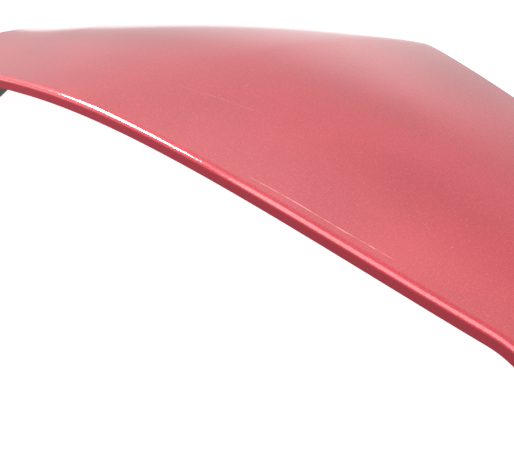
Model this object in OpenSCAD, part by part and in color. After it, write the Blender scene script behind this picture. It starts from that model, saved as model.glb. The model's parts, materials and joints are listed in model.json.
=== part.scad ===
// Racing rear wing: an arched, tapered moulded blade on two adjustable uprights.
// X runs along the span, +Y towards the trailing edge, +Z up; the feet stand on Z = 0.

/* [Blade] */
// half of the blade's span, to the tip cap (mm)
half_span = 500; // [480:5:700]
// chord at the centre (mm)
chord_root = 250; // [150:1:350]
// chord lost 400 mm out by the straight taper (mm)
taper = 91.4; // [0:0.1:110]
// further chord lost 400 mm out by the curved taper (mm)
taper_curve = 4.4; // [0:0.1:40]
// rounding of the trailing edge's corner at the centre (mm)
apex_round = 14; // [4:1:60]
// drop of the leading edge 400 mm out, main term (mm)
arch = 45.9; // [0:0.1:60]
// lift of the tips that flattens the arch (mm)
arch_relief = 13.4; // [0:0.1:16]
// sweep of the leading edge 400 mm out, main term (mm)
sweep = 30.5; // [0:0.5:40]
// nose-to-tail incidence at the centre (degrees)
incidence = 4.75; // [2:0.05:12]
// incidence gained 400 mm out (degrees)
twist_out = 2.85; // [0:0.05:4]
// incidence lost again at the very tips (degrees)
washout = 4.4; // [0:0.1:8]
// camber as a share of the chord
camber = 0.073; // [0:0.001:0.12]

/* [Section] */
// height of the leading-edge face (mm)
nose_height = 9.7; // [8:0.1:20]
// radius along the top of the nose (mm)
nose_radius = 6; // [3.5:0.5:8]
// distance out where the tips start to turn down (mm)
bend_start = 444; // [400:1:480]
// drop of the tips where they turn down (mm)
tip_droop = 7.9; // [0:0.1:14]
// extra depth of the nose at the tips (mm)
tip_swell = 7.5; // [0:0.1:14]
// extra thickness at mid chord (mm)
bulge = 12; // [6:0.5:18]
// thickness of the trailing edge (mm)
te_thick = 3.2; // [2.6:0.1:6]
// upper skin thickness (mm)
skin_top = 1.6; // [1.2:0.1:3]
// lower skin thickness (mm)
skin_low = 1.4; // [1.2:0.1:3]

/* [Uprights] */
// height of the leading edge above the deck at the centre (mm)
le_height = 80; // [78:1:260]
// distance from the centre to each upright plate (mm)
upright_x = 175; // [150:1:200]
// upright plate thickness (mm)
upright_t = 8; // [6:0.5:12]
// ear plate thickness of the wing brackets (mm)
ear_t = 6; // [4:0.5:10]
// radius from the pivot to the lock bolt (mm)
lock_r = 72; // [60:1:74]
// most the trailing edge swings up from rest (degrees)
swing_up = 6; // [1:0.5:6]
// most the trailing edge swings down from rest (degrees)
swing_down = 8; // [1:0.5:8]

/* [Hidden] */
$fn = 48;
y_le = -chord_root / 2;
z_le = le_height;
k_break = 400;
apex = apex_round / 400;
chord_break = chord_root - taper * (sqrt(1 + apex * apex) - apex) - taper_curve;
slope_break = -(taper / sqrt(1 + apex * apex) + 2 * taper_curve) / 400;
slope_tip = 0.72 * slope_break;
curve_tip = (slope_tip - slope_break) / (half_span - k_break);
sweep_relief = 0.36;
aft_load = 0.007;
tail_roll = 0.004;
bond = 0.2;
roof_gap = 0.35;
piv_y = 110;
piv_z = -34;
tilt = 5.4;
face_v = 21;
flange_t = 5;
bolt_r = 4;
gap_w = 1.2;
up_in = upright_x - upright_t / 2;
up_out = upright_x + upright_t / 2;
ear_in = up_out + gap_w;
ear_out = ear_in + ear_t;
foot_y0 = 124;
foot_y1 = 222;
foot_t = 6;
pad_t = 2;
fence_x = half_span + 3.6;
fence_t = 4;
strake_x = 370;
strake_t = 4;

// distances out of the five rib stations on each side
rib_x = [70, 236, 312, 392, 462];

function uu(x) = abs(x) / 400;
function beyond(x) = max(0, abs(x) - k_break);
function inner(x) = min(uu(x), 1);
function straight(x) = sqrt(pow(inner(x), 2) + apex * apex) - apex;
function inner_chord(x) = chord_root - taper * straight(x) - taper_curve * pow(inner(x), 2);
function chord(x) = inner_chord(x) + slope_break * beyond(x) + 0.5 * curve_tip * pow(beyond(x), 2);
// how far a tip has turned down, 1 at the very end
function bend(x) = pow(max(0, abs(x) - bend_start) / (half_span - bend_start), 2);
function le_z(x) = -arch * pow(uu(x), 2) + arch_relief * pow(uu(x), 4) - tip_droop * bend(x);
function le_y(x) = sweep * pow(uu(x), 2) - sweep_relief * sweep * pow(uu(x), 4);
function tip_frac(x) = max(0, (abs(x) - 300) / (half_span - 300));
function inc(x) = incidence + twist_out * pow(uu(x), 2) - washout * pow(tip_frac(x), 2);
function nose_h(x) = nose_height + tip_swell * bend(x);
function tail(t) = max(0, (t - 0.75) / 0.25);

// height of the upper surface above the leading edge
function arc_line(x, t) = tan(inc(x)) * t + 4 * camber * t * (1 - t);
function aft_line(t) = aft_load * t * t * (1 - t) - tail_roll * pow(tail(t), 2);
function top_h(x, t) = chord(x) * (arc_line(x, t) + aft_line(t));
function aft_slope(t) = aft_load * (2 * t - 3 * t * t) - 8 * tail_roll * tail(t);
function top_slope(x, t) = atan(tan(inc(x)) + 4 * camber * (1 - 2 * t) + aft_slope(t));
// thickness between the outer faces
function core_h(x, t) = 4 * bulge * chord(x) / chord_root * t * (1 - t);
function thick(x, t) = nose_h(x) * (1 - t) + te_thick * t + core_h(x, t);
function low_h(x, t) = top_h(x, t) - thick(x, t);

// nose rounding between the upright face and the upper surface
function nose_tan(x) = nose_radius * tan((90 - top_slope(x, 0)) / 2);
function nose_ang(x, k) = 180 - (90 - top_slope(x, 0)) * k / 4;
function first_t(x) = nose_tan(x) * cos(top_slope(x, 0)) / chord(x);
function step_t(x, q) = first_t(x) + (1 - first_t(x)) * pow(q, 1.1);
top_steps = 16;
ring_n = 8 + top_steps;

// point i of the upper section, o inside the outer face
function face_pt(x, i, o) = i == 0 ? [1 + o, -nose_h(x)]
  : i == 1 ? [0.25 + o, 1.2 - nose_h(x)]
  : [o, 3 - nose_h(x)];
function arc_pt(x, a, o) = [nose_radius + (nose_radius - o) * cos(a),
  (nose_radius - o) * sin(a) - nose_tan(x)];
function roof_pt(x, t, o) = [chord(x) * t + o * sin(top_slope(x, t)),
  top_h(x, t) - o * cos(top_slope(x, t))];
function skin_pt(x, i, o) = i < 3 ? face_pt(x, i, o)
  : i < 8 ? arc_pt(x, nose_ang(x, i - 3), o)
  : roof_pt(x, step_t(x, (i - 7) / top_steps), o);

// place a section point in the part's frame
function place(x, p) = [x, y_le + le_y(x) + p[0], z_le + le_z(x) + p[1]];
function mix(a, b, q) = a + (b - a) * q;

// closed shell through rings of 2k points, outer half then inner half reversed
module loft(rings) {
  s = len(rings);
  n = len(rings[0]);
  k = n / 2;
  pts = [for (r = rings) for (p = r) p];
  side_a = [for (j = [0 : s - 2]) for (i = [0 : n - 1]) [j * n + i, (j + 1) * n + (i + 1) % n, (j + 1) * n + i]];
  side_b = [for (j = [0 : s - 2]) for (i = [0 : n - 1]) [j * n + i, j * n + (i + 1) % n, (j + 1) * n + (i + 1) % n]];
  cap_a = [for (i = [0 : k - 2]) [i, n - 2 - i, i + 1]];
  cap_b = [for (i = [0 : k - 2]) [i, n - 1 - i, n - 2 - i]];
  e = (s - 1) * n;
  cap_c = [for (i = [0 : k - 2]) [e + i + 1, e + n - 2 - i, e + i]];
  cap_d = [for (i = [0 : k - 2]) [e + n - 1 - i, e + i, e + n - 2 - i]];
  polyhedron(points = pts, faces = concat(side_a, side_b, cap_a, cap_b, cap_c, cap_d), convexity = 6);
}

function stations(a, b, n) = [for (i = [0 : n]) mix(a, b, i / n)];
// stations along the blade, closer together at the centre and where the tips turn down
inner_x = concat([0, 5, 11, 19, 30], stations(48, k_break, 12));
swell_x = stations(k_break + 14, half_span, 9);
half_x = concat(inner_x, swell_x);
half_n = len(half_x);
skin_x = concat([for (i = [half_n - 1 : -1 : 1]) -half_x[i]], half_x);
frame_x = [for (x = skin_x) if (abs(x) < half_span - 22) x];
strip_x = [for (x = skin_x) if (abs(x) < half_span - 5) x];

function upper_ring(x) = concat(
  [for (i = [0 : ring_n - 1]) place(x, skin_pt(x, i, 0))],
  [for (i = [ring_n - 1 : -1 : 0]) place(x, skin_pt(x, i, skin_top))]);

low_n = 16;
function low_t(x, i) = mix(2.9 / chord(x), 1, i / (low_n - 1));
function low_pt(x, t, o) = [chord(x) * t, low_h(x, t) + o];
function lower_ring(x) = concat(
  [for (i = [0 : low_n - 1]) place(x, low_pt(x, low_t(x, i), skin_low * 1.03))],
  [for (i = [low_n - 1 : -1 : 0]) place(x, low_pt(x, low_t(x, i), 0))]);

// space between the skins, from share ta to tb of the chord
function roof_in(x, t) = top_h(x, t) - skin_top / cos(top_slope(x, t)) - roof_gap;
function floor_in(x, t) = low_h(x, t) + skin_low * 1.03 + bond;
function fill_ring(x, ta, tb, n) = concat(
  [for (i = [0 : n - 1]) place(x, [chord(x) * mix(ta, tb, i / (n - 1)), roof_in(x, mix(ta, tb, i / (n - 1)))])],
  [for (i = [n - 1 : -1 : 0]) place(x, [chord(x) * mix(ta, tb, i / (n - 1)), floor_in(x, mix(ta, tb, i / (n - 1)))])]);

// draw 2D (y, z) outlines as plates between two x values
module plate(x0, x1) {
  translate([x0, 0, 0])
    rotate([90, 0, 90])
      linear_extrude(height = x1 - x0)
        children();
}
module rod(x0, x1, r) {
  translate([x0, 0, 0])
    rotate([0, 90, 0])
      cylinder(h = x1 - x0, r = r);
}
module hex(x0, x1, af) {
  translate([x0, 0, 0])
    rotate([0, 90, 0])
      cylinder(h = x1 - x0, r = af / sqrt(3), $fn = 6);
}
module both() {
  children();
  mirror([1, 0, 0]) children();
}
module at_pivot() {
  translate([0, y_le + piv_y, z_le + piv_z]) children();
}
// frame tilted with the wing bracket, origin on the pivot
module in_bracket() {
  at_pivot() rotate([tilt, 0, 0]) children();
}
module at_lock() {
  in_bracket() translate([0, lock_r, 0]) children();
}

// ---------- blade ----------
module upper_skin() {
  color([0.74, 0.05, 0.09]) loft([for (x = skin_x) upper_ring(x)]);
}

flange_x = [upright_x - 12, upright_x + 24];
flange_y = [-4, 56];

module screw_spots() {
  for (sx = flange_x) for (sy = flange_y)
    translate([sx, sy, 0]) children();
}

module lower_skin() {
  color([0.62, 0.04, 0.07])
    difference() {
      loft([for (x = skin_x) lower_ring(x)]);
      both() in_bracket() screw_spots() cylinder(h = 90, r = 3.5);
    }
}

module main_spar() {
  color([0.16, 0.16, 0.17])
    loft([for (x = frame_x) fill_ring(x, 0.29, 0.29 + 5 / chord(x), 2)]);
}

module rear_spar() {
  color([0.16, 0.16, 0.17])
    loft([for (x = frame_x) fill_ring(x, 0.82, 0.82 + 3.5 / chord(x), 2)]);
}

function strip_y(i) = 2.1 + i * 3;
function strip_low(x, i) = low_h(x, strip_y(i) / chord(x)) + skin_low * 1.03 + bond;
function strip_ring(x) = concat(
  [for (i = [0 : 4]) place(x, [strip_y(i), strip_low(x, i) + 2])],
  [for (i = [4 : -1 : 0]) place(x, [strip_y(i), strip_low(x, i)])]);
module nose_strip() {
  color([0.62, 0.6, 0.5]) loft([for (x = strip_x) strip_ring(x)]);
}

module rib(x) {
  c = chord(x);
  w = 1.5;
  color([0.2, 0.2, 0.21]) {
    loft([for (s = [-w, w]) fill_ring(x + s, 16 / c, 0.29 - 0.8 / c, 7)]);
    loft([for (s = [-w, w]) fill_ring(x + s, 0.29 + 5.8 / c, 0.82 - 0.8 / c, 9)]);
    loft([for (s = [-w, w]) fill_ring(x + s, 0.82 + 4.3 / c, 0.955, 4)]);
  }
}
module rib_left_1() { rib(-rib_x[0]); }
module rib_left_2() { rib(-rib_x[1]); }
module rib_left_3() { rib(-rib_x[2]); }
module rib_left_4() { rib(-rib_x[3]); }
module rib_left_5() { rib(-rib_x[4]); }
module rib_right_1() { rib(rib_x[0]); }
module rib_right_2() { rib(rib_x[1]); }
module rib_right_3() { rib(rib_x[2]); }
module rib_right_4() { rib(rib_x[3]); }
module rib_right_5() { rib(rib_x[4]); }

// tip cap: the blade's own section, slightly drawn in on the outer side
tip = half_span;
function cap_low(i) = i == 2 ? [0.5, 1.2 - nose_h(tip)]
  : i == 3 ? [1.3, -nose_h(tip)]
  : [skin_pt(tip, i, 0)[0] + 0.3, low_h(tip, (skin_pt(tip, i, 0)[0] + 0.3) / chord(tip))];
function cap_top(i) = skin_pt(tip, i, 0);
function cap_in(p, d) = [p[0] + d * (p[0] < 50 ? 1 : -1) * abs(p[0] - 50) / 50, p[1]];
function cap_ring(x, d) = concat(
  [for (i = [2 : ring_n - 1]) place_tip(x, cap_in(cap_top(i), d) - [0, d])],
  [for (i = [ring_n - 1 : -1 : 2]) place_tip(x, cap_in(cap_low(i), d) + [0, d])]);
function place_tip(x, p) = [x, y_le + le_y(tip) + p[0], z_le + le_z(tip) + p[1]];

fence_spots = [[42, -46.9], [66, -41.1], [90, -37.1]];
module fence_spot() {
  for (p = fence_spots) translate([0, y_le + p[0], z_le + p[1]]) children();
}

module tip_cap() {
  color([0.72, 0.05, 0.09])
    difference() {
      loft([cap_ring(half_span + 0.15, 0), cap_ring(half_span + 2.2, 0), cap_ring(half_span + 3.4, 1)]);
      fence_spot() rod(half_span - 5, half_span + 8, 2.8);
    }
}
module tip_cap_right() { tip_cap(); }
module tip_cap_left() { mirror([1, 0, 0]) tip_cap(); }

module tip_inserts() {
  color([0.72, 0.6, 0.32])
    both() fence_spot()
      difference() {
        union() {
          rod(half_span - 10, half_span, 3.5);
          rod(half_span - 2, half_span, 4.0);
        }
        rod(half_span - 9, half_span + 1, 2.1);
      }
}

// under-hung fence closing each end of the blade
function fence_top(i) = [place_tip(0, cap_top(i))[1], place_tip(0, cap_top(i))[2] - 1.5];
fence_low = [[161, -46], [154, -56], [140, -66], [118, -72], [60, -71], [26, -66.5], [15, -65], [10, -62], [8.5, -57.5], [11, -54]];
module end_fence() {
  color([0.05, 0.05, 0.055])
    difference() {
      plate(fence_x, fence_x + fence_t)
        polygon(concat([for (i = [6 : ring_n - 1]) fence_top(i)],
          [for (p = fence_low) [y_le + p[0], z_le + p[1]]]));
      fence_spot() rod(fence_x - 1, fence_x + 8, 2.8);
    }
}
module end_fence_right() { end_fence(); }
module end_fence_left() { mirror([1, 0, 0]) end_fence(); }

module fence_screws() {
  color([0.75, 0.76, 0.78])
    both() fence_spot()
      difference() {
        union() {
          rod(half_span - 8, fence_x + fence_t, 2.0);
          rod(fence_x + fence_t, fence_x + fence_t + 2.4, 3.8);
        }
        hex(fence_x + fence_t + 0.9, fence_x + fence_t + 3, 3);
      }
}

// small fins under the blade, each with a bonded foot shaped to the skin
strake_low = [[98, -30], [94.5, -31.2], [62.5, -55.2], [57.3, -59.1], [54, -60], [50, -59.3], [30, -43.2]];
function under(x, y) = le_z(x) + low_h(x, (y - le_y(x)) / chord(x)) - bond;
function strake_foot(x, d) = concat(
  [for (i = [0 : 8]) let (y = mix(26, 100, i / 8)) [x, y_le + y, z_le + under(x, y)]],
  [for (i = [8 : -1 : 0]) let (y = mix(26, 100, i / 8)) [x, y_le + y, z_le + under(x, y) - d]]);
module strake() {
  color([0.05, 0.05, 0.055]) {
    loft([for (x = stations(strake_x - 9, strake_x + 9, 4)) strake_foot(x, 2.2)]);
    translate([0, y_le, z_le])
      plate(strake_x - strake_t / 2, strake_x + strake_t / 2)
        polygon(concat([for (i = [0 : 8]) let (y = mix(27, 98, i / 8)) [y, under(strake_x, y) - 1.4]], strake_low));
  }
}
module strake_right() { strake(); }
module strake_left() { mirror([1, 0, 0]) strake(); }

// solid blocks inside the blade over the brackets
block_a = upright_x - 24;
block_b = upright_x + 36;
module mount_block() {
  color([0.68, 0.69, 0.71])
    difference() {
      loft([for (x = stations(block_a, block_b, 4)) fill_ring(x, 0.37, 0.79, 8)]);
      in_bracket() screw_spots() translate([0, 0, face_v]) cylinder(h = 24, r = 2.55);
    }
}
module mount_block_right() { mount_block(); }
module mount_block_left() { mirror([1, 0, 0]) mount_block(); }

// saddles: flat below, shaped to the lower skin above
function saddle_face(y) = piv_z + (face_v + flange_t) / cos(tilt) + (y - piv_y) * tan(tilt);
function saddle_ring(x, ya, yb, n) = concat(
  [for (i = [0 : n - 1]) let (y = mix(ya, yb, i / (n - 1))) let (t = (y - le_y(x)) / chord(x))
    [x, y_le + y, z_le + le_z(x) + low_h(x, t) - bond]],
  [for (i = [n - 1 : -1 : 0]) let (y = mix(ya, yb, i / (n - 1)))
    [x, y_le + y, z_le + saddle_face(y)]]);
module saddle() {
  color([0.06, 0.06, 0.065])
    difference() {
      loft([for (x = stations(upright_x - 21, upright_x + 33, 5)) saddle_ring(x, piv_y - 20, piv_y + 64, 9)]);
      in_bracket() screw_spots() cylinder(h = 90, r = 3.4);
    }
}
module saddle_right() { saddle(); }
module saddle_left() { mirror([1, 0, 0]) saddle(); }

// wing bracket: a flange under the saddle and an ear with an arc slot
module arc_slot(r, w, a0, a1) {
  difference() {
    circle(r = r + w, $fn = 96);
    circle(r = r - w, $fn = 96);
    polygon([[0, 0], 2 * r * [cos(a1), sin(a1)], [-r, 2 * r], [-2 * r, 0], [-r, -2 * r], 2 * r * [cos(a0), sin(a0)]]);
  }
  rotate(a0) translate([r, 0]) circle(r = w);
  rotate(a1) translate([r, 0]) circle(r = w);
}
module ear_outline() {
  difference() {
    union() {
      circle(r = 15);
      polygon([[-15, 0], [0, -15], [74, -18], [86, -14], [88, 12], [84, face_v + 0.5], [-12, face_v + 0.5]]);
    }
    circle(r = 6);
    arc_slot(lock_r, bolt_r + 0.45, -swing_up - 1.2, swing_down + 1.2);
    translate([34, 4]) circle(r = 9);
  }
}
module bracket() {
  color([0.07, 0.07, 0.075])
    difference() {
      in_bracket() {
        plate(ear_in, ear_out) ear_outline();
        translate([upright_x - 20, -17, face_v]) cube([52, 82, flange_t]);
      }
      in_bracket() screw_spots() cylinder(h = 60, r = 3.3);
    }
}
module bracket_right() { bracket(); }
module bracket_left() { mirror([1, 0, 0]) bracket(); }

module bracket_screws() {
  color([0.76, 0.77, 0.79])
    both() in_bracket() screw_spots()
      difference() {
        union() {
          translate([0, 0, face_v - 1.2]) cylinder(h = 21, r = 2.5);
          translate([0, 0, face_v - 1.2 - 3.2]) cylinder(h = 3.2, r = 4.6);
        }
        translate([0, 0, face_v - 5]) cylinder(h = 2.4, r = 1.9, $fn = 6);
      }
}
module bracket_washers() {
  color([0.7, 0.71, 0.73])
    both() in_bracket() screw_spots()
      translate([0, 0, face_v - 1.2])
        difference() {
          cylinder(h = 1.2, r = 6);
          translate([0, 0, -1]) cylinder(h = 4, r = 2.8);
        }
}
module pivot_bushes() {
  color([0.72, 0.53, 0.28])
    both() at_pivot()
      difference() {
        rod(ear_in, ear_out, 5.98);
        rod(ear_in - 1, ear_out + 1, bolt_r + 0.05);
      }
}
// small pointers screwed to the ears' rear edges
module pointers() {
  color([0.85, 0.3, 0.1])
    both() in_bracket()
      plate(ear_out + 0.05, ear_out + 1.4)
        difference() {
          polygon([[82.6, -3.2], [88, -3.2], [95, 0], [88, 3.2], [82.6, 3.2]]);
          translate([85.4, 0]) circle(r = 1);
        }
}

// ---------- stand ----------
module pivot_bolts() {
  color([0.74, 0.75, 0.77])
    both() at_pivot() {
      rod(up_in - 10, ear_out + 1.6, bolt_r);
      hex(ear_out + 1.6, ear_out + 7, 13);
    }
}
module pivot_washers() {
  color([0.7, 0.71, 0.73])
    both() at_pivot() {
      difference() {
        rod(ear_out + 0.35, ear_out + 1.6, 8);
        rod(ear_out - 1, ear_out + 3, bolt_r + 0.15);
      }
      difference() {
        rod(up_in - 1.4, up_in, 8);
        rod(up_in - 3, up_in + 1, bolt_r + 0.15);
      }
    }
}
module pivot_nuts() {
  color([0.66, 0.67, 0.7])
    both() at_pivot()
      difference() {
        hex(up_in - 8.4, up_in - 1.4, 13);
        rod(up_in - 12, up_in, bolt_r + 0.02);
      }
}
module lock_bolts() {
  color([0.74, 0.75, 0.77])
    both() at_lock() {
      rod(up_in - 10, ear_out + 1.9, bolt_r);
      hex(ear_out + 1.9, ear_out + 7.2, 13);
    }
}
module lock_washers() {
  color([0.7, 0.71, 0.73])
    both() at_lock() {
      difference() {
        rod(ear_out + 0.35, ear_out + 1.9, 9);
        rod(ear_out - 1, ear_out + 3, bolt_r + 0.15);
      }
      difference() {
        rod(up_in - 1.4, up_in, 8);
        rod(up_in - 3, up_in + 1, bolt_r + 0.15);
      }
    }
}
module lock_nuts() {
  color([0.66, 0.67, 0.7])
    both() at_lock()
      difference() {
        hex(up_in - 8.4, up_in - 1.4, 13);
        rod(up_in - 12, up_in, bolt_r + 0.02);
      }
}
// plain washers that keep the ear off the upright
module friction_washer() {
  difference() {
    rod(up_out, up_out + 0.9, 11);
    rod(up_out - 1, up_out + 3, bolt_r + 0.15);
  }
}
module friction_washers() {
  color([0.12, 0.12, 0.13])
    both() {
      at_pivot() friction_washer();
      at_lock() friction_washer();
    }
}

lock_y = piv_y + lock_r * cos(tilt);
lock_z = piv_z + lock_r * sin(tilt);
joint_y = [140, 173, 206];
joint_z = 20 - le_height;
brace = [158, piv_z - 3];
up_low = foot_t + pad_t - le_height;
// sector of the upright that carries the angle scale
module scale_horn() {
  intersection() {
    circle(r = 108.6, $fn = 120);
    polygon([[60, -20], [130, -32], [130, 18], [76, 13], [60, 2]]);
  }
}
module upright_outline() {
  difference() {
    union() {
      translate([piv_y, piv_z]) circle(r = 15);
      translate([lock_y, lock_z]) circle(r = 11);
      translate([piv_y, piv_z]) rotate(tilt) scale_horn();
      polygon([[piv_y - 15, piv_z], [foot_y0 + 6, up_low], [foot_y1 - 8, up_low], [foot_y1 - 8, up_low + 26],
        [lock_y + 18, lock_z - 15], [lock_y + 11, lock_z], [lock_y - 2, lock_z + 10.6], [piv_y - 2, piv_z + 14.6]]);
    }
    translate([piv_y, piv_z]) circle(r = bolt_r + 0.1);
    translate([lock_y, lock_z]) circle(r = bolt_r + 0.1);
    for (y = joint_y) translate([y, joint_z]) circle(r = 4.2);
    translate(brace) circle(r = 4.2);
    translate([piv_y + 25, piv_z - 2]) circle(r = 8);
    translate([piv_y + 92, piv_z + 5]) circle(r = 5.5);
  }
}
module upright() {
  color([0.06, 0.06, 0.065])
    difference() {
      translate([0, y_le, z_le]) plate(up_in, up_out) upright_outline();
      translate([0, y_le + brace[0], z_le + brace[1]]) countersink();
      joint_spots() countersink();
    }
}
module countersink() {
  translate([up_out - 4.2, 0, 0])
    rotate([0, 90, 0])
      cylinder(h = 4.3, r1 = 4.2, r2 = 8.5);
}
module upright_right() { upright(); }
module upright_left() { mirror([1, 0, 0]) upright(); }

// foot: base plate with a standing web against the upright's inner face
hole_x = [upright_x - 22, upright_x + 24];
hole_y = [foot_y0 + 15, foot_y1 - 15];
module foot_holes(r) {
  for (hx = hole_x) for (hy = hole_y)
    translate([hx, y_le + hy, -1]) cylinder(h = 20, r = r);
}
module foot() {
  color([0.07, 0.07, 0.075])
    difference() {
      union() {
        translate([upright_x - 35, y_le + foot_y0, pad_t]) cube([72, foot_y1 - foot_y0, foot_t]);
        translate([0, y_le, z_le])
          plate(up_in - 6, up_in)
            polygon([[foot_y0 + 6, up_low - 1], [foot_y1 - 8, up_low - 1], [foot_y1 - 8, up_low + 17],
              [foot_y1 - 15, up_low + 23], [foot_y0 + 18, up_low + 23], [foot_y0 + 6, up_low + 13]]);
      }
      foot_holes(4.5);
      for (y = joint_y) translate([0, y_le + y, z_le + joint_z]) rod(up_in - 8, up_in + 1, 4.2);
    }
}
module foot_right() { foot(); }
module foot_left() { mirror([1, 0, 0]) foot(); }

module joint_spots() {
  for (y = joint_y) translate([0, y_le + y, z_le + joint_z]) children();
}
module foot_joint_bolts() {
  color([0.74, 0.75, 0.77])
    both() joint_spots()
      difference() {
        union() {
          rod(up_in - 15, up_out - 3.9, bolt_r);
          translate([up_out - 4, 0, 0]) rotate([0, 90, 0]) cylinder(h = 3.9, r1 = 4, r2 = 8);
        }
        hex(up_out - 2.6, up_out + 1, 5);
      }
}
module foot_joint_nuts() {
  color([0.66, 0.67, 0.7])
    both() joint_spots()
      difference() {
        hex(up_in - 12.8, up_in - 6, 13);
        rod(up_in - 16, up_in, bolt_r + 0.02);
      }
}

module gasket() {
  color([0.04, 0.04, 0.04])
    difference() {
      translate([upright_x - 34, y_le + foot_y0 + 1, 0]) cube([70, foot_y1 - foot_y0 - 2, pad_t]);
      foot_holes(4.5);
    }
}
module gasket_right() { gasket(); }
module gasket_left() { mirror([1, 0, 0]) gasket(); }

module at_brace() {
  translate([0, y_le + brace[0], z_le + brace[1]]) children();
}
module spreader() {
  color([0.07, 0.07, 0.075])
    at_brace()
      difference() {
        rod(-up_in, up_in, 9);
        rod(-up_in - 1, up_in + 1, 7);
      }
}
// threaded plugs pressed into the tube's ends
module spreader_plugs() {
  color([0.6, 0.61, 0.63])
    both() at_brace()
      difference() {
        rod(up_in - 30, up_in, 6.98);
        rod(up_in - 31, up_in + 1, 3.4);
      }
}
module spreader_screws() {
  color([0.74, 0.75, 0.77])
    both() at_brace()
      difference() {
        union() {
          rod(up_in - 24, up_out - 3.9, 3.35);
          translate([up_out - 4, 0, 0]) rotate([0, 90, 0]) cylinder(h = 3.9, r1 = 3.9, r2 = 8);
        }
        hex(up_out - 2.6, up_out + 1, 5);
      }
}

// angle scales on the uprights, with plain tick slots
scale_in = up_out;
module angle_scales() {
  color([0.8, 0.81, 0.83])
    both() at_pivot()
      plate(scale_in, scale_in + 0.8)
        rotate(tilt)
          difference() {
            intersection() {
              difference() {
                circle(r = 108, $fn = 120);
                circle(r = 93.5, $fn = 120);
              }
              polygon([[0, 0], [120, -27], [120, 16.2]]);
            }
            for (a = [-10 : 2 : 6]) rotate(a) translate([96, -0.4]) square([5, 0.8]);
            for (a = [-11, 6]) rotate(a) translate([104, 0]) circle(r = 1.05);
          }
}
module scale_rivets() {
  color([0.6, 0.61, 0.63])
    both() at_pivot() rotate([tilt, 0, 0])
      for (a = [-11, 6]) rotate([a, 0, 0]) translate([0, 104, 0]) {
        rod(scale_in, scale_in + 0.8, 1);
        rod(scale_in + 0.8, scale_in + 1.4, 1.9);
      }
}

upper_skin();
lower_skin();
main_spar();
rear_spar();
nose_strip();
rib_left_1();
rib_left_2();
rib_left_3();
rib_left_4();
rib_left_5();
rib_right_1();
rib_right_2();
rib_right_3();
rib_right_4();
rib_right_5();
tip_cap_left();
tip_cap_right();
tip_inserts();
end_fence_left();
end_fence_right();
fence_screws();
strake_left();
strake_right();
mount_block_left();
mount_block_right();
saddle_left();
saddle_right();
bracket_left();
bracket_right();
bracket_screws();
bracket_washers();
pivot_bushes();
pointers();
pivot_bolts();
pivot_washers();
pivot_nuts();
lock_bolts();
lock_washers();
lock_nuts();
friction_washers();
angle_scales();
scale_rivets();
upright_left();
upright_right();
foot_left();
foot_right();
foot_joint_bolts();
foot_joint_nuts();
gasket_left();
gasket_right();
spreader();
spreader_plugs();
spreader_screws();
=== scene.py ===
import json
import math

import bpy
import bmesh
from mathutils import Matrix, Vector

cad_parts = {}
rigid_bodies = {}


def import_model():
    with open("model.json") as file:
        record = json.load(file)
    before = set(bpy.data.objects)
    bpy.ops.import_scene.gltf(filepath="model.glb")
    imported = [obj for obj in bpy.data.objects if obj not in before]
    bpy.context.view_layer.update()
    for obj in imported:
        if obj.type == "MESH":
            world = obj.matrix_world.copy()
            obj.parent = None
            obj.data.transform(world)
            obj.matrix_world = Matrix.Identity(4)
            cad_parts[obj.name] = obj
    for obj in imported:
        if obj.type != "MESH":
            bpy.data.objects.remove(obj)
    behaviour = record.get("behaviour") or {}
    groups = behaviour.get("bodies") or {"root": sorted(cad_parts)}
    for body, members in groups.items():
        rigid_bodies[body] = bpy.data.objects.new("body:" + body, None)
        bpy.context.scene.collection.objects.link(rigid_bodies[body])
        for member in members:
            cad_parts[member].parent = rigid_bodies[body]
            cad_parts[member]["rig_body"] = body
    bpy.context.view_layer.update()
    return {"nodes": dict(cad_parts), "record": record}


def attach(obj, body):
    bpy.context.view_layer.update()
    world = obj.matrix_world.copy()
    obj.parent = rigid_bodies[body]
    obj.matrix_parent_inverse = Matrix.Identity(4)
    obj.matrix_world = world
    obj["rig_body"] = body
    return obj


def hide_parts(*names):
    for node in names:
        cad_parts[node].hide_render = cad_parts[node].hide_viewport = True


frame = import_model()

scene = bpy.context.scene
nodes = frame["nodes"]

# ------------------------------------------------------------------ blade law
# The same curves as part.scad, in millimetres: change both together.
HALF_SPAN, CHORD, TAPER, TAPER_CURVE, APEX = 500.0, 250.0, 91.4, 4.4, 14.0 / 400
ARCH, ARCH_RELIEF, SWEEP, SWEEP_RELIEF = 45.9, 13.4, 30.5, 0.36
INCIDENCE, TWIST, WASHOUT, CAMBER = 4.75, 2.85, 4.4, 0.073
NOSE, NOSE_R, BEND_START, DROOP, SWELL = 9.7, 6.0, 444.0, 7.9, 7.5
SKIN_TOP = 1.6
AFT, ROLL = 0.007, 0.004
Y_LE, Z_LE = -CHORD / 2, 79.95  # 0.05 lower than the CAD crest, so that the finer mesh stays below its top
K_BREAK = 400.0  # beyond this the chord's slope eases
S_BREAK = -(TAPER / math.sqrt(1 + APEX * APEX) + 2 * TAPER_CURVE) / K_BREAK
C_TIP = (0.72 - 1) * S_BREAK / (HALF_SPAN - K_BREAK)


def rad(a):
    return math.radians(a)


def uu(x):
    return abs(x) / K_BREAK


def chord(x):
    u, b = min(uu(x), 1.0), max(0.0, abs(x) - K_BREAK)
    inner = CHORD - TAPER * (math.sqrt(u * u + APEX * APEX) - APEX) - TAPER_CURVE * u * u
    return inner + S_BREAK * b + 0.5 * C_TIP * b * b


def bend(x):
    return (max(0.0, abs(x) - BEND_START) / (HALF_SPAN - BEND_START)) ** 2


def le_z(x):
    return -ARCH * uu(x) ** 2 + ARCH_RELIEF * uu(x) ** 4 - DROOP * bend(x)


def le_y(x):
    return SWEEP * uu(x) ** 2 - SWEEP_RELIEF * SWEEP * uu(x) ** 4


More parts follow.
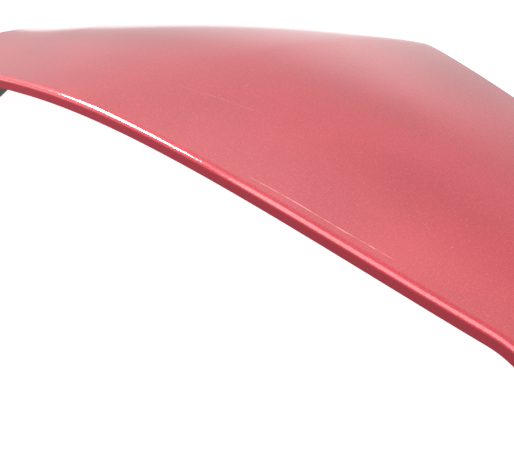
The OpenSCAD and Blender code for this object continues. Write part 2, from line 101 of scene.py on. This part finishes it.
def inc(x):
    f = max(0.0, (abs(x) - 300) / (HALF_SPAN - 300))
    return INCIDENCE + TWIST * uu(x) ** 2 - WASHOUT * f * f


def nose_h(x):
    return NOSE + SWELL * bend(x)


def tail(t):
    return max(0.0, (t - 0.75) / 0.25)


def top_h(x, t):
    rise = math.tan(rad(inc(x))) * t + 4 * CAMBER * t * (1 - t)
    return chord(x) * (rise + AFT * t * t * (1 - t) - ROLL * tail(t) ** 2)


def top_slope(x, t):
    rise = math.tan(rad(inc(x))) + 4 * CAMBER * (1 - 2 * t)
    return math.atan(rise + AFT * (2 * t - 3 * t * t) - 8 * ROLL * tail(t))


def nose_tan(x):
    return NOSE_R * math.tan((math.pi / 2 - top_slope(x, 0)) / 2)


def place(x, y, z):
    """A point of the station x, in metres, y and z millimetres from its leading edge."""
    return Vector((x, Y_LE + le_y(x) + y, Z_LE + le_z(x) + z)) / 1000.0


# ------------------------------------------------------------------ mesh tools
def new_object(name, verts, faces, body, mat):
    me = bpy.data.meshes.new(name)
    me.from_pydata([tuple(v) for v in verts], [], faces)
    me.validate()
    ob = bpy.data.objects.new(name, me)
    scene.collection.objects.link(ob)
    me.materials.append(mat)
    me.shade_smooth()
    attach(ob, body)
    return ob


def ring_mesh(rings):
    """Faces through equal closed rings; the end rings are filled by strips of quads."""
    n = len(rings[0])
    verts = [p for r in rings for p in r]
    faces = []
    for j in range(len(rings) - 1):
        for i in range(n):
            a, b = j * n + i, j * n + (i + 1) % n
            faces.append((a, b, b + n, a + n))
    e = (len(rings) - 1) * n
    for i in range(n // 2 - 1):
        faces.append((i, n - 1 - i, n - 2 - i, i + 1))
        faces.append((e + i + 1, e + n - 2 - i, e + n - 1 - i, e + i))
    return verts, faces


def sharp_by_angle(ob, degrees):
    bm = bmesh.new()
    bm.from_mesh(ob.data)
    bmesh.ops.recalc_face_normals(bm, faces=bm.faces)
    for f in bm.faces:
        f.smooth = True
    for e in bm.edges:
        if len(e.link_faces) == 2:
            e.smooth = e.calc_face_angle(0.0) < rad(degrees)
    bm.to_mesh(ob.data)
    bm.free()


def stations(a, b, n):
    """n equal steps from a to b, both ends included."""
    return [a + (b - a) * i / n for i in range(n + 1)]


# ------------------------------------------------------------------ materials
def material(name):
    m = bpy.data.materials.new(name)
    m.use_nodes = True
    nt = m.node_tree
    nt.nodes.clear()
    out = nt.nodes.new("ShaderNodeOutputMaterial")
    sh = nt.nodes.new("ShaderNodeBsdfPrincipled")
    nt.links.new(sh.outputs[0], out.inputs[0])
    return m, nt, sh


def node(nt, kind, **values):
    n = nt.nodes.new(kind)
    for k, v in values.items():
        if k.startswith("in_"):
            n.inputs[int(k[3:]) if k[3:].isdigit() else k[3:].replace("_", " ")].default_value = v
        else:
            setattr(n, k, v)
    return n


def coords(nt):
    return nt.nodes.new("ShaderNodeTexCoord").outputs["Object"]


def noise(nt, vec, scale, detail=2.0, rough=0.5):
    n = node(nt, "ShaderNodeTexNoise", in_Scale=scale, in_Detail=detail, in_Roughness=rough)
    nt.links.new(vec, n.inputs["Vector"])
    return n.outputs["Fac"]


def scaled(nt, vec, s):
    m = node(nt, "ShaderNodeMapping", in_Scale=s)
    nt.links.new(vec, m.inputs["Vector"])
    return m.outputs[0]


def math_node(nt, op, a, b=None, c=None, clamp=False):
    n = nt.nodes.new("ShaderNodeMath")
    n.operation = op
    n.use_clamp = clamp
    for i, v in enumerate((a, b, c)):
        if v is None:
            continue
        if isinstance(v, (int, float)):
            n.inputs[i].default_value = v
        else:
            nt.links.new(v, n.inputs[i])
    return n.outputs[0]


def spread(nt, value, lo, hi, to_lo, to_hi, smooth=False):
    n = nt.nodes.new("ShaderNodeMapRange")
    if smooth:
        n.interpolation_type = "SMOOTHSTEP"
    nt.links.new(value, n.inputs["Value"])
    for i, v in zip(("From Min", "From Max", "To Min", "To Max"), (lo, hi, to_lo, to_hi)):
        n.inputs[i].default_value = v
    return n.outputs["Result"]


def blend_colour(nt, fac, a, b):
    n = nt.nodes.new("ShaderNodeMix")
    n.data_type = "RGBA"
    nt.links.new(fac, n.inputs[0])
    for i, v in ((6, a), (7, b)):
        if isinstance(v, tuple):
            n.inputs[i].default_value = (*v, 1.0)
        else:
            nt.links.new(v, n.inputs[i])
    return n.outputs[2]


def bump(nt, sh, height, strength, distance, into="Normal"):
    b = node(nt, "ShaderNodeBump", in_Strength=strength, in_Distance=distance)
    nt.links.new(height, b.inputs["Height"])
    nt.links.new(b.outputs[0], sh.inputs[into])
    return b


def split_axes(nt, vec):
    s = nt.nodes.new("ShaderNodeSeparateXYZ")
    nt.links.new(vec, s.inputs[0])
    return s.outputs


def hairline(nt, axes, x0, x1, y0, y1, width):
    """A fine scratch along the blade between two points of its plan, broken up by noise."""
    slope = (y1 - y0) / (x1 - x0)
    off = math_node(nt, "SUBTRACT", axes[1], math_node(nt, "MULTIPLY_ADD", axes[0], slope, y0 - slope * x0))
    near = spread(nt, math_node(nt, "ABSOLUTE", off), 0.0, width, 1.0, 0.0, True)
    a = spread(nt, axes[0], min(x0, x1), min(x0, x1) + 0.02, 0.0, 1.0, True)
    b = spread(nt, axes[0], max(x0, x1) - 0.02, max(x0, x1), 1.0, 0.0, True)
    return math_node(nt, "MULTIPLY", near, math_node(nt, "MULTIPLY", a, b))


def red_paint(name, coat=1.0, marks=True, dark=1.0):
    m, nt, sh = material(name)
    vec = coords(nt)
    axes = split_axes(nt, vec)
    # dark below 1 scales every red here down, the nose colour too: a darker copy of the paint as painted
    # shade
    base = (0.48 * dark, 0.032 * dark, 0.050 * dark)
    deep = (0.41 * dark, 0.024 * dark, 0.040 * dark)
    pale = (0.80 * dark, 0.11 * dark, 0.13 * dark)
    # slow drift of the base coat, then the flakes in it
    drift = spread(nt, noise(nt, scaled(nt, vec, (6, 14, 14)), 1.0, 3.0), 0.35, 0.65, 0.0, 1.0)
    col = blend_colour(nt, drift, base, deep)
    flake = node(nt, "ShaderNodeTexVoronoi", in_Scale=2600.0)
    nt.links.new(vec, flake.inputs["Vector"])
    bright = split_axes(nt, flake.outputs["Color"])[0]
    spark = spread(nt, bright, 0.80, 1.0, 0.0, 0.55)
    col = blend_colour(nt, spark, col, pale)
    grain = noise(nt, vec, 900.0, 2.0)
    rough = spread(nt, grain, 0.3, 0.7, 0.34, 0.44)
    nt.links.new(rough, sh.inputs["Roughness"])
    peel = noise(nt, vec, 210.0, 2.0, 0.4)
    height = spread(nt, peel, 0.2, 0.8, 0.0, 1.0)
    bump(nt, sh, height, 0.05, 0.0006, "Coat Normal")
    facing = split_axes(nt, nt.nodes.new("ShaderNodeNewGeometry").outputs["Normal"])[2]
    if marks:
        drift = noise(nt, scaled(nt, vec, (9, 9, 9)), 1.0, 2.0)
        wob = math_node(nt, "MULTIPLY", math_node(nt, "SUBTRACT", drift, 0.5), 0.004)
        bent = nt.nodes.new("ShaderNodeCombineXYZ")
        nt.links.new(axes[0], bent.inputs[0])
        nt.links.new(math_node(nt, "ADD", axes[1], wob), bent.inputs[1])
        nt.links.new(axes[2], bent.inputs[2])
        ax = split_axes(nt, bent.outputs[0])
        line = hairline(nt, ax, 0.190, 0.352, -0.1118, -0.1007, 0.00034)
        line2 = hairline(nt, ax, 0.02, 0.13, -0.078, -0.066, 0.00030)
        gaps = spread(nt, noise(nt, scaled(nt, vec, (60, 60, 60)), 1.0, 2.0), 0.40, 0.58, 0.15, 1.0)
        both = math_node(nt, "MAXIMUM", line, math_node(nt, "MULTIPLY", line2, 0.35))
        lines = math_node(nt, "MULTIPLY", both, gaps)
        # settled dust: sparse pale specks of two sizes
        specks = None
        for scale, limit, keep in ((95.0, 0.050, 0.80), (230.0, 0.060, 0.90)):
            v = node(nt, "ShaderNodeTexVoronoi", in_Scale=scale)
            nt.links.new(vec, v.inputs["Vector"])
            dot = spread(nt, v.outputs["Distance"], limit * 0.6, limit, 1.0, 0.0, True)
            pick = spread(nt, split_axes(nt, v.outputs["Color"])[1], keep, keep + 0.02, 0.0, 1.0)
            one = math_node(nt, "MULTIPLY", dot, pick)
            specks = one if specks is None else math_node(nt, "MAXIMUM", specks, one)
        specks = math_node(nt, "MULTIPLY", specks, spread(nt, facing, 0.3, 0.8, 0.0, 1.0))
        lines = math_node(nt, "MULTIPLY", lines, 0.75)
        mark = math_node(nt, "MAXIMUM", lines, math_node(nt, "MULTIPLY", specks, 0.6), clamp=True)
        col = blend_colour(nt, mark, col, (0.86, 0.52, 0.50))
    # the upright nose face carries painted shade: its colour is blended toward a dark red the more upright
    # it faces, and it has almost no clear coat or metal
    gloss = spread(nt, facing, 0.10, 0.36, 0.02 * coat, coat, True)
    nt.links.new(gloss, sh.inputs["Coat Weight"])
    # painted shade mask: 1 on upright faces, 0 on faces turned up
    shade = spread(nt, facing, 0.0, 0.34, 1.0, 0.0, True)
    col = blend_colour(nt, shade, col, (0.212 * dark, 0.026 * dark, 0.036 * dark))
    nt.links.new(col, sh.inputs["Base Color"])
    metal = spread(nt, spark, 0.0, 0.6, 0.14, 0.5)
    metal = math_node(nt, "MULTIPLY", metal, spread(nt, shade, 0.0, 1.0, 1.0, 0.1))
    nt.links.new(metal, sh.inputs["Metallic"])
    sh.inputs["Specular IOR Level"].default_value = 0.0
    sh.inputs["Coat Roughness"].default_value = 0.09
    sh.inputs["Coat IOR"].default_value = 1.5
    sh.inputs["IOR"].default_value = 1.5
    return m


def twill(name):
    """Black woven laminate under a gel coat."""
    m, nt, sh = material(name)
    vec = coords(nt)
    axes = split_axes(nt, vec)
    s = 2 * math.pi / 0.0042
    a = math_node(nt, "SINE", math_node(nt, "MULTIPLY", math_node(nt, "ADD", axes[1], axes[2]), s))
    b = math_node(nt, "SINE", math_node(nt, "MULTIPLY", math_node(nt, "SUBTRACT", axes[1], axes[2]), s))
    tow = spread(nt, math_node(nt, "MULTIPLY", a, b), -0.25, 0.25, 0.0, 1.0, True)
    fib = noise(nt, scaled(nt, vec, (900, 900, 900)), 1.0, 2.0)
    col = blend_colour(nt, tow, (0.010, 0.010, 0.011), (0.040, 0.041, 0.044))
    col = blend_colour(nt, spread(nt, fib, 0.3, 0.7, 0.0, 0.35), col, (0.02, 0.02, 0.022))
    nt.links.new(col, sh.inputs["Base Color"])
    nt.links.new(spread(nt, tow, 0.0, 1.0, 0.30, 0.46), sh.inputs["Roughness"])
    bump(nt, sh, tow, 0.15, 0.0001)
    sh.inputs["Coat Weight"].default_value = 0.8
    sh.inputs["Coat Roughness"].default_value = 0.06
    return m


def anodised(name, base=(0.022, 0.022, 0.024), lift=(0.05, 0.05, 0.054)):
    """Fine-blasted black anodised aluminium with rubbed edges."""
    m, nt, sh = material(name)
    vec = coords(nt)
    fine = noise(nt, vec, 1500.0, 3.0)
    slow = noise(nt, scaled(nt, vec, (18, 18, 18)), 1.0, 4.0)
    col = blend_colour(nt, spread(nt, slow, 0.35, 0.7, 0.0, 1.0), base, lift)
    geo = nt.nodes.new("ShaderNodeNewGeometry")
    worn = spread(nt, geo.outputs["Pointiness"], 0.53, 0.60, 0.0, 0.65)
    worn = math_node(nt, "MULTIPLY", worn, spread(nt, noise(nt, vec, 140.0, 3.0), 0.42, 0.62, 0.0, 1.0))
    col = blend_colour(nt, worn, col, (0.42, 0.42, 0.43))
    nt.links.new(col, sh.inputs["Base Color"])
    sh.inputs["Metallic"].default_value = 0.75
    nt.links.new(spread(nt, fine, 0.3, 0.7, 0.36, 0.5), sh.inputs["Roughness"])
    bump(nt, sh, fine, 0.12, 0.00012)
    return m


def bright_metal(name, colour, stretch=(1, 1, 1), rough=(0.2, 0.36), tint=None):
    """Machined or plated metal with a directional grain."""
    m, nt, sh = material(name)
    vec = coords(nt)
    grain = noise(nt, scaled(nt, vec, stretch), 420.0, 4.0, 0.6)
    slow = noise(nt, vec, 35.0, 3.0)
    dark = tuple(c * 0.72 for c in colour)
    col = blend_colour(nt, spread(nt, grain, 0.3, 0.7, 0.0, 0.7), colour, dark)
    if tint:
        col = blend_colour(nt, spread(nt, slow, 0.45, 0.75, 0.0, 0.6), col, tint)
    nt.links.new(col, sh.inputs["Base Color"])
    sh.inputs["Metallic"].default_value = 1.0
    nt.links.new(spread(nt, grain, 0.3, 0.7, *rough), sh.inputs["Roughness"])
    bump(nt, sh, grain, 0.10, 0.00008)
    return m


def plastic(name, a, b, rough=(0.4, 0.55), scale=600.0, depth=0.2):
    """Moulded or cast surface with a fine texture."""
    m, nt, sh = material(name)
    vec = coords(nt)
    fine = noise(nt, vec, scale, 3.0)
    slow = noise(nt, vec, 22.0, 3.0)
    col = blend_colour(nt, spread(nt, slow, 0.3, 0.7, 0.0, 1.0), a, b)
    nt.links.new(col, sh.inputs["Base Color"])
    nt.links.new(spread(nt, fine, 0.3, 0.7, *rough), sh.inputs["Roughness"])
    bump(nt, sh, fine, depth, 0.00015)
    return m


PAINT = red_paint("red_clearcoat")
# the lower surfaces get a copy nine tenths as bright: painted shade, with a thinner coat and no marks
PAINT_LOW_SHADED = red_paint("red_clearcoat_lower_shaded", coat=0.6, marks=False, dark=0.9)
LAMINATE = plastic("raw_laminate", (0.05, 0.05, 0.055), (0.08, 0.08, 0.085), scale=300.0, depth=0.4)
BOND = plastic("bond_paste", (0.45, 0.42, 0.34), (0.36, 0.34, 0.28), scale=200.0, depth=0.4)
TWILL = twill("black_twill")
BLACK = anodised("black_anodised")
NYLON = plastic("black_nylon", (0.016, 0.016, 0.017), (0.028, 0.028, 0.03), (0.42, 0.6), 700.0, 0.3)
RUBBER = plastic("cellular_rubber", (0.012, 0.012, 0.012), (0.024, 0.024, 0.024), (0.7, 0.92), 900.0, 0.7)
STEEL = bright_metal("plated_steel", (0.62, 0.63, 0.65), (1, 1, 1), (0.22, 0.38), (0.55, 0.54, 0.47))
ALU = bright_metal("machined_aluminium", (0.72, 0.73, 0.75), (1, 12, 1), (0.26, 0.40))
BRONZE = bright_metal("turned_bronze", (0.60, 0.40, 0.18), (8, 1, 1), (0.24, 0.4), (0.42, 0.27, 0.13))
ORANGE = plastic("pointer_paint", (0.72, 0.17, 0.03), (0.64, 0.13, 0.02), (0.3, 0.42), 500.0, 0.1)

LOOKS = {
    "dark_laminate": LAMINATE, "bond_strip": BOND, "black_nylon": NYLON, "black_laminate": TWILL,
    "gasket_rubber": RUBBER, "black_aluminium": BLACK, "bare_aluminium": ALU,
    "bronze": BRONZE, "washer_nylon": NYLON, "pointer_paint": ORANGE, "steel": STEEL,
    "red_paint": PAINT, "red_paint_lower": PAINT_LOW_SHADED,
}
slot_of = {s["node"]: s["material_slot"] for s in frame["record"]["subparts"]}
for name, ob in nodes.items():
    look = LOOKS[slot_of[name]]
    if not ob.material_slots:
        ob.data.materials.append(look)
    for s in ob.material_slots:
        s.material = look

# ------------------------------------------------------------------ the blade
N_CHORD, N_ARC = 64, 10


def upper_profile(x, o):
    """Outer points of the upper skin at a station, o millimetres inside them."""
    h, r, tl, s0 = nose_h(x), NOSE_R, nose_tan(x), top_slope(x, 0)
    pts = []
    for k in range(6):
        a = k / 5 * math.pi / 2
        pts.append((1.0 + o - (1.0) * math.sin(a), -h + 1.2 - 1.2 * math.cos(a)))
    for k in range(1, 5):
        q = k / 5
        pts.append((o, -h + 1.2 + (h - 1.2 - tl) * q))
    for k in range(N_ARC + 1):
        a = math.pi - (math.pi / 2 - s0) * k / N_ARC
        pts.append((r + (r - o) * math.cos(a), (r - o) * math.sin(a) - tl))
    t1 = tl * math.cos(s0) / chord(x)
    for j in range(1, N_CHORD + 1):
        t = t1 + (1 - t1) * (j / N_CHORD) ** 1.1
        s = top_slope(x, t)
        pts.append((chord(x) * t + o * math.sin(s), top_h(x, t) - o * math.cos(s)))
    return pts


def shell(name, profile, t_in, body, mat):
    half = [0, 2.5, 5, 8, 11.5, 15.5, 20, 25.5, 32]
    half += stations(40, K_BREAK, 66) + stations(K_BREAK + 4, HALF_SPAN, 26)
    xs = [-x for x in half[:0:-1]] + half
    rings = []
    for x in xs:
        out = [place(x, *p) for p in profile(x, 0.0)]
        inn = [place(x, *p) for p in profile(x, t_in)]
        rings.append(out + inn[::-1])
    v, f = ring_mesh(rings)
    ob = new_object(name, v, f, body, mat)
    sharp_by_angle(ob, 32)
    return ob


upper = shell("upper_shell", upper_profile, SKIN_TOP, "wing", PAINT)
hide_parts("upper_skin")


# ------------------------------------------------------------------ machined parts with broken edges
def eased(node_name, width, segments=2, angle=32):
    """A copy of a CAD node with its sharp edges bevelled inwards."""
    src = nodes[node_name]
    me = src.data.copy()
    bm = bmesh.new()
    bm.from_mesh(me)
    bmesh.ops.remove_doubles(bm, verts=bm.verts, dist=1e-6)
    bmesh.ops.dissolve_limit(bm, angle_limit=rad(0.6), verts=bm.verts, edges=bm.edges)
    bmesh.ops.recalc_face_normals(bm, faces=bm.faces)
    bm.to_mesh(me)
    bm.free()
    ob = bpy.data.objects.new(node_name + "_eased", me)
    scene.collection.objects.link(ob)
    mod = ob.modifiers.new("edge", "BEVEL")
    mod.width = width / 1000.0
    mod.segments = segments
    mod.limit_method = "ANGLE"
    mod.angle_limit = rad(angle)
    mod.use_clamp_overlap = True
    dg = bpy.context.evaluated_depsgraph_get()
    done = bpy.data.meshes.new_from_object(ob.evaluated_get(dg))
    ob.modifiers.clear()
    ob.data = done
    done.materials.clear()
    done.materials.append(LOOKS[slot_of[node_name]])
    sharp_by_angle(ob, 30)
    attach(ob, src["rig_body"])
    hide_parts(node_name)
    return ob


EASED = {
    "upright_left": 0.6, "upright_right": 0.6, "foot_left": 0.7, "foot_right": 0.7,
    "bracket_left": 0.5, "bracket_right": 0.5, "end_fence_left": 0.7, "end_fence_right": 0.7,
    "strake_left": 0.5, "strake_right": 0.5,
    "saddle_left": 0.8, "saddle_right": 0.8, "gasket_left": 0.3, "gasket_right": 0.3,
    "lock_bolts": 0.35, "pivot_bolts": 0.35, "lock_nuts": 0.3, "pivot_nuts": 0.3,
    "foot_joint_nuts": 0.3, "foot_joint_bolts": 0.35, "fence_screws": 0.3, "bracket_screws": 0.3,
    "lock_washers": 0.15, "pivot_washers": 0.15, "bracket_washers": 0.15, "spreader_screws": 0.2,
    "pointers": 0.15, "scale_rivets": 0.15,
}
for name, width in EASED.items():
    eased(name, width)

# ------------------------------------------------------------------ camera
CAM_FROM_NOSE = Vector((1.29368, -0.52132, 0.28906))
AZ, EL, TURN = rad(63.878), rad(15.154), rad(-1.896)
FOCAL, FRAME_WIDTH, SENSOR = 2107.85, 514, 36.0  # focal length and frame in the same unit, sensor in mm
level = Vector((-math.sin(AZ), math.cos(AZ), 0))
right = Vector((math.cos(AZ), math.sin(AZ), 0))
ahead = math.cos(EL) * level - math.sin(EL) * Vector((0, 0, 1))
above = math.sin(EL) * level + math.cos(EL) * Vector((0, 0, 1))
cam_x = math.cos(TURN) * right + math.sin(TURN) * above
cam_y = -math.sin(TURN) * right + math.cos(TURN) * above
cam_data = bpy.data.cameras.new("photo_view")
cam_data.sensor_width = SENSOR
cam_data.sensor_fit = "HORIZONTAL"
cam_data.lens = FOCAL / FRAME_WIDTH * SENSOR
cam_data.clip_start, cam_data.clip_end = 0.05, 60.0
cam = bpy.data.objects.new("photo_view", cam_data)
m = Matrix((cam_x, cam_y, -ahead)).transposed().to_4x4()
m.translation = Vector((0, Y_LE / 1000, Z_LE / 1000)) + CAM_FROM_NOSE
cam.matrix_world = m
scene.collection.objects.link(cam)
scene.camera = cam

# ------------------------------------------------------------------ floor and light
floor_mat, nt, sh = material("pale_floor")
vec = coords(nt)
tone = spread(nt, noise(nt, vec, 3.0, 3.0), 0.3, 0.7, 0.0, 1.0)
col = blend_colour(nt, tone, (0.34, 0.34, 0.34), (0.37, 0.37, 0.37))
nt.links.new(col, sh.inputs["Base Color"])
sh.inputs["Roughness"].default_value = 0.9
sh.inputs["Specular IOR Level"].default_value = 0.1
sh.inputs["Emission Color"].default_value = (1, 1, 1, 1)
sh.inputs["Emission Strength"].default_value = 0.92
me = bpy.data.meshes.new("floor")
FLOOR_HALF, FLOOR_Z = 12, -0.0006
corners = [(sx * FLOOR_HALF, sy * FLOOR_HALF, FLOOR_Z) for sx, sy in ((-1, -1), (1, -1), (1, 1), (-1, 1))]
me.from_pydata(corners, [], [(0, 1, 2, 3)])
floor = bpy.data.objects.new("floor", me)
me.materials.append(floor_mat)
scene.collection.objects.link(floor)

world = bpy.data.worlds.new("studio")
scene.world = world
world.use_nodes = True
wn = world.node_tree
bg = wn.nodes["Background"]
# a smooth sky: brighter overhead, and in soft glows toward the back and the front
axes = split_axes(wn, wn.nodes.new("ShaderNodeTexCoord").outputs["Generated"])
low = spread(wn, axes[2], 0.02, 0.20, -0.04, 0.0, True)
high = spread(wn, axes[2], 0.30, 0.80, 0.78, 1.10, True)
back = spread(wn, axes[1], 0.34, 0.50, 0.0, 0.50, True)
back = math_node(wn, "MULTIPLY", back, spread(wn, axes[2], 0.28, 0.50, 1.0, 0.0, True))
back = math_node(wn, "MULTIPLY", back, spread(wn, axes[1], 0.49, 0.60, 1.0, 0.3, True))
fore = spread(wn, axes[1], 0.05, 0.34, 0.85, 0.0, True)
fore = math_node(wn, "MULTIPLY", fore, spread(wn, axes[0], -0.92, -0.78, 0.10, 1.0))
fore = math_node(wn, "MULTIPLY", fore, spread(wn, axes[1], -0.35, 0.0, 0.2, 1.0, True))
ramp = math_node(wn, "ADD", math_node(wn, "ADD", math_node(wn, "ADD", low, high), back), fore)
grey = wn.nodes.new("ShaderNodeCombineXYZ")
for i in range(3):
    wn.links.new(ramp, grey.inputs[i])
wn.links.new(grey.outputs[0], bg.inputs[0])
bg.inputs[1].default_value = 0.80


def area(name, where, at, size, power):
    d = bpy.data.lights.new(name, "AREA")
    d.shape = "RECTANGLE"
    d.size, d.size_y = size
    d.energy = power
    o = bpy.data.objects.new(name, d)
    o.location = where
    o.rotation_euler = (Vector(at) - Vector(where)).to_track_quat("-Z", "Y").to_euler()
    scene.collection.objects.link(o)
    return o


area("top_box", (0.2, 0.3, 2.6), (0, 0, 0), (2.6, 2.0), 14)
area("nose_box", (-2.22, -1.08, 0.78), (0, -0.1, 0.08), (0.90, 0.36), 44)
area("front_box", (-1.0, -2.2, 0.8), (0, -0.1, 0.08), (2.2, 1.2), 30)

scene.view_settings.view_transform = "Standard"
scene.view_settings.look = "None"
